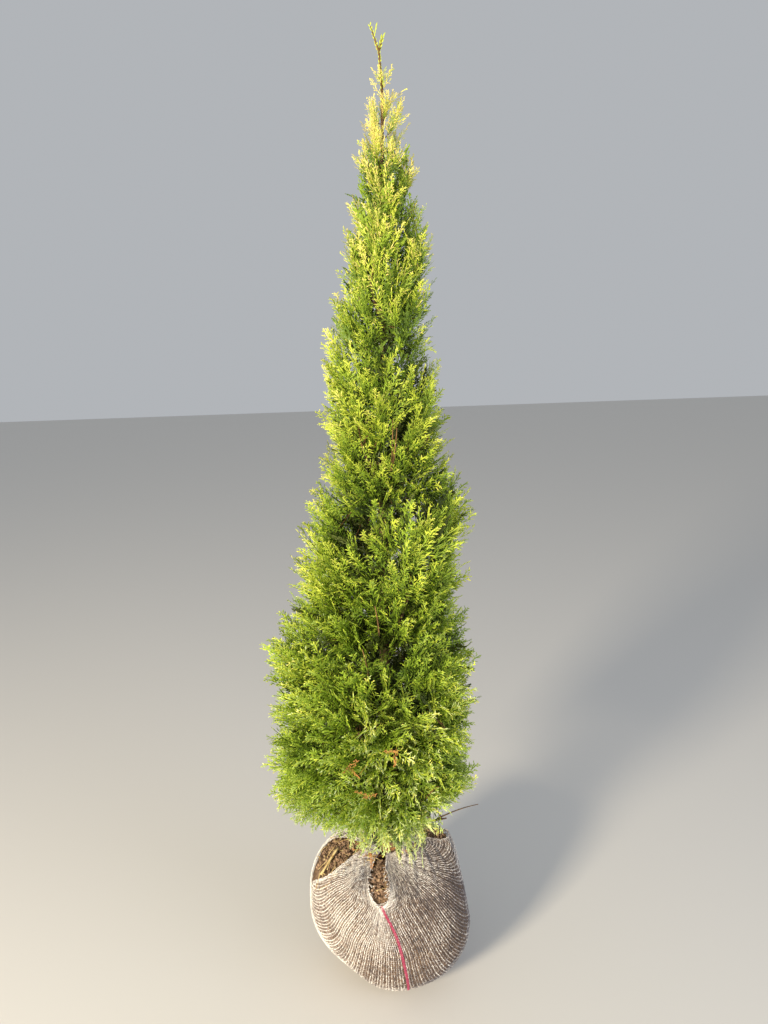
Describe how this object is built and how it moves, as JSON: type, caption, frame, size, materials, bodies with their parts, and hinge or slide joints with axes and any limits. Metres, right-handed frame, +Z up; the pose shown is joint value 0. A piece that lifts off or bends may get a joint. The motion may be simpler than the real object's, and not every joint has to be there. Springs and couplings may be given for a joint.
{
  "type": "thuja with netted root ball",
  "caption": "Narrow, pointed thuja dense with flat green sprays on a slim trunk, its roots in a soil ball wrapped in knitted net and stood on the ball's flat underside.",
  "frame": {"origin": "centre of the root ball's flat underside, on the ground", "axes": "+Z up along the plant, +X to the right of someone who faces its front, -Y towards them; the front is the side where the net's corners leave a narrow slit"},
  "size_m": [0.3601, 0.3853, 1.5425],
  "materials": {
    "foliage": "matte",
    "foliage_tips": "matte",
    "foliage_shade": "matte",
    "foliage_dry": "matte",
    "bark": "matte",
    "soil": "matte",
    "net_thread": "matte",
    "marker_thread": "matte"
  },
  "bodies": {
    "root": {"root_ball_net": "net_thread", "root_ball_soil": "soil", "trunk": "bark", "bough_skirt_1": "bark", "foliage_skirt_1": "foliage", "bough_skirt_2": "bark", "foliage_skirt_2": "foliage", "bough_skirt_3": "bark", "foliage_skirt_3": "foliage", "bough_skirt_4": "bark", "foliage_skirt_4": "foliage", "bough_skirt_5": "bark", "foliage_skirt_5": "foliage", "bough_skirt_6": "bark", "foliage_skirt_6": "foliage", "bough_lower_1": "bark", "foliage_lower_1": "foliage", "bough_lower_2": "bark", "foliage_lower_2": "foliage", "bough_lower_3": "bark", "foliage_lower_3": "foliage", "bough_lower_4": "bark", "foliage_lower_4": "foliage", "bough_lower_5": "bark", "foliage_lower_5": "foliage", "bough_middle_1": "bark", "foliage_middle_1": "foliage", "bough_middle_2": "bark", "foliage_middle_2": "foliage", "bough_middle_3": "bark", "foliage_middle_3": "foliage", "bough_middle_4": "bark", "foliage_middle_4": "foliage", "bough_shoulder_1": "bark", "foliage_shoulder_1": "foliage", "bough_shoulder_2": "bark", "foliage_shoulder_2": "foliage", "bough_shoulder_3": "bark", "foliage_shoulder_3": "foliage", "bough_shoulder_4": "bark", "foliage_shoulder_4": "foliage", "bough_upper_1": "bark", "foliage_upper_1": "foliage", "bough_upper_2": "bark", "foliage_upper_2": "foliage", "bough_upper_3": "bark", "foliage_upper_3": "foliage", "foliage_spire_1": "foliage", "foliage_spire_2": "foliage", "foliage_spire_3": "foliage", "foliage_leader_tip": "foliage"}
  },
  "joints": []
}
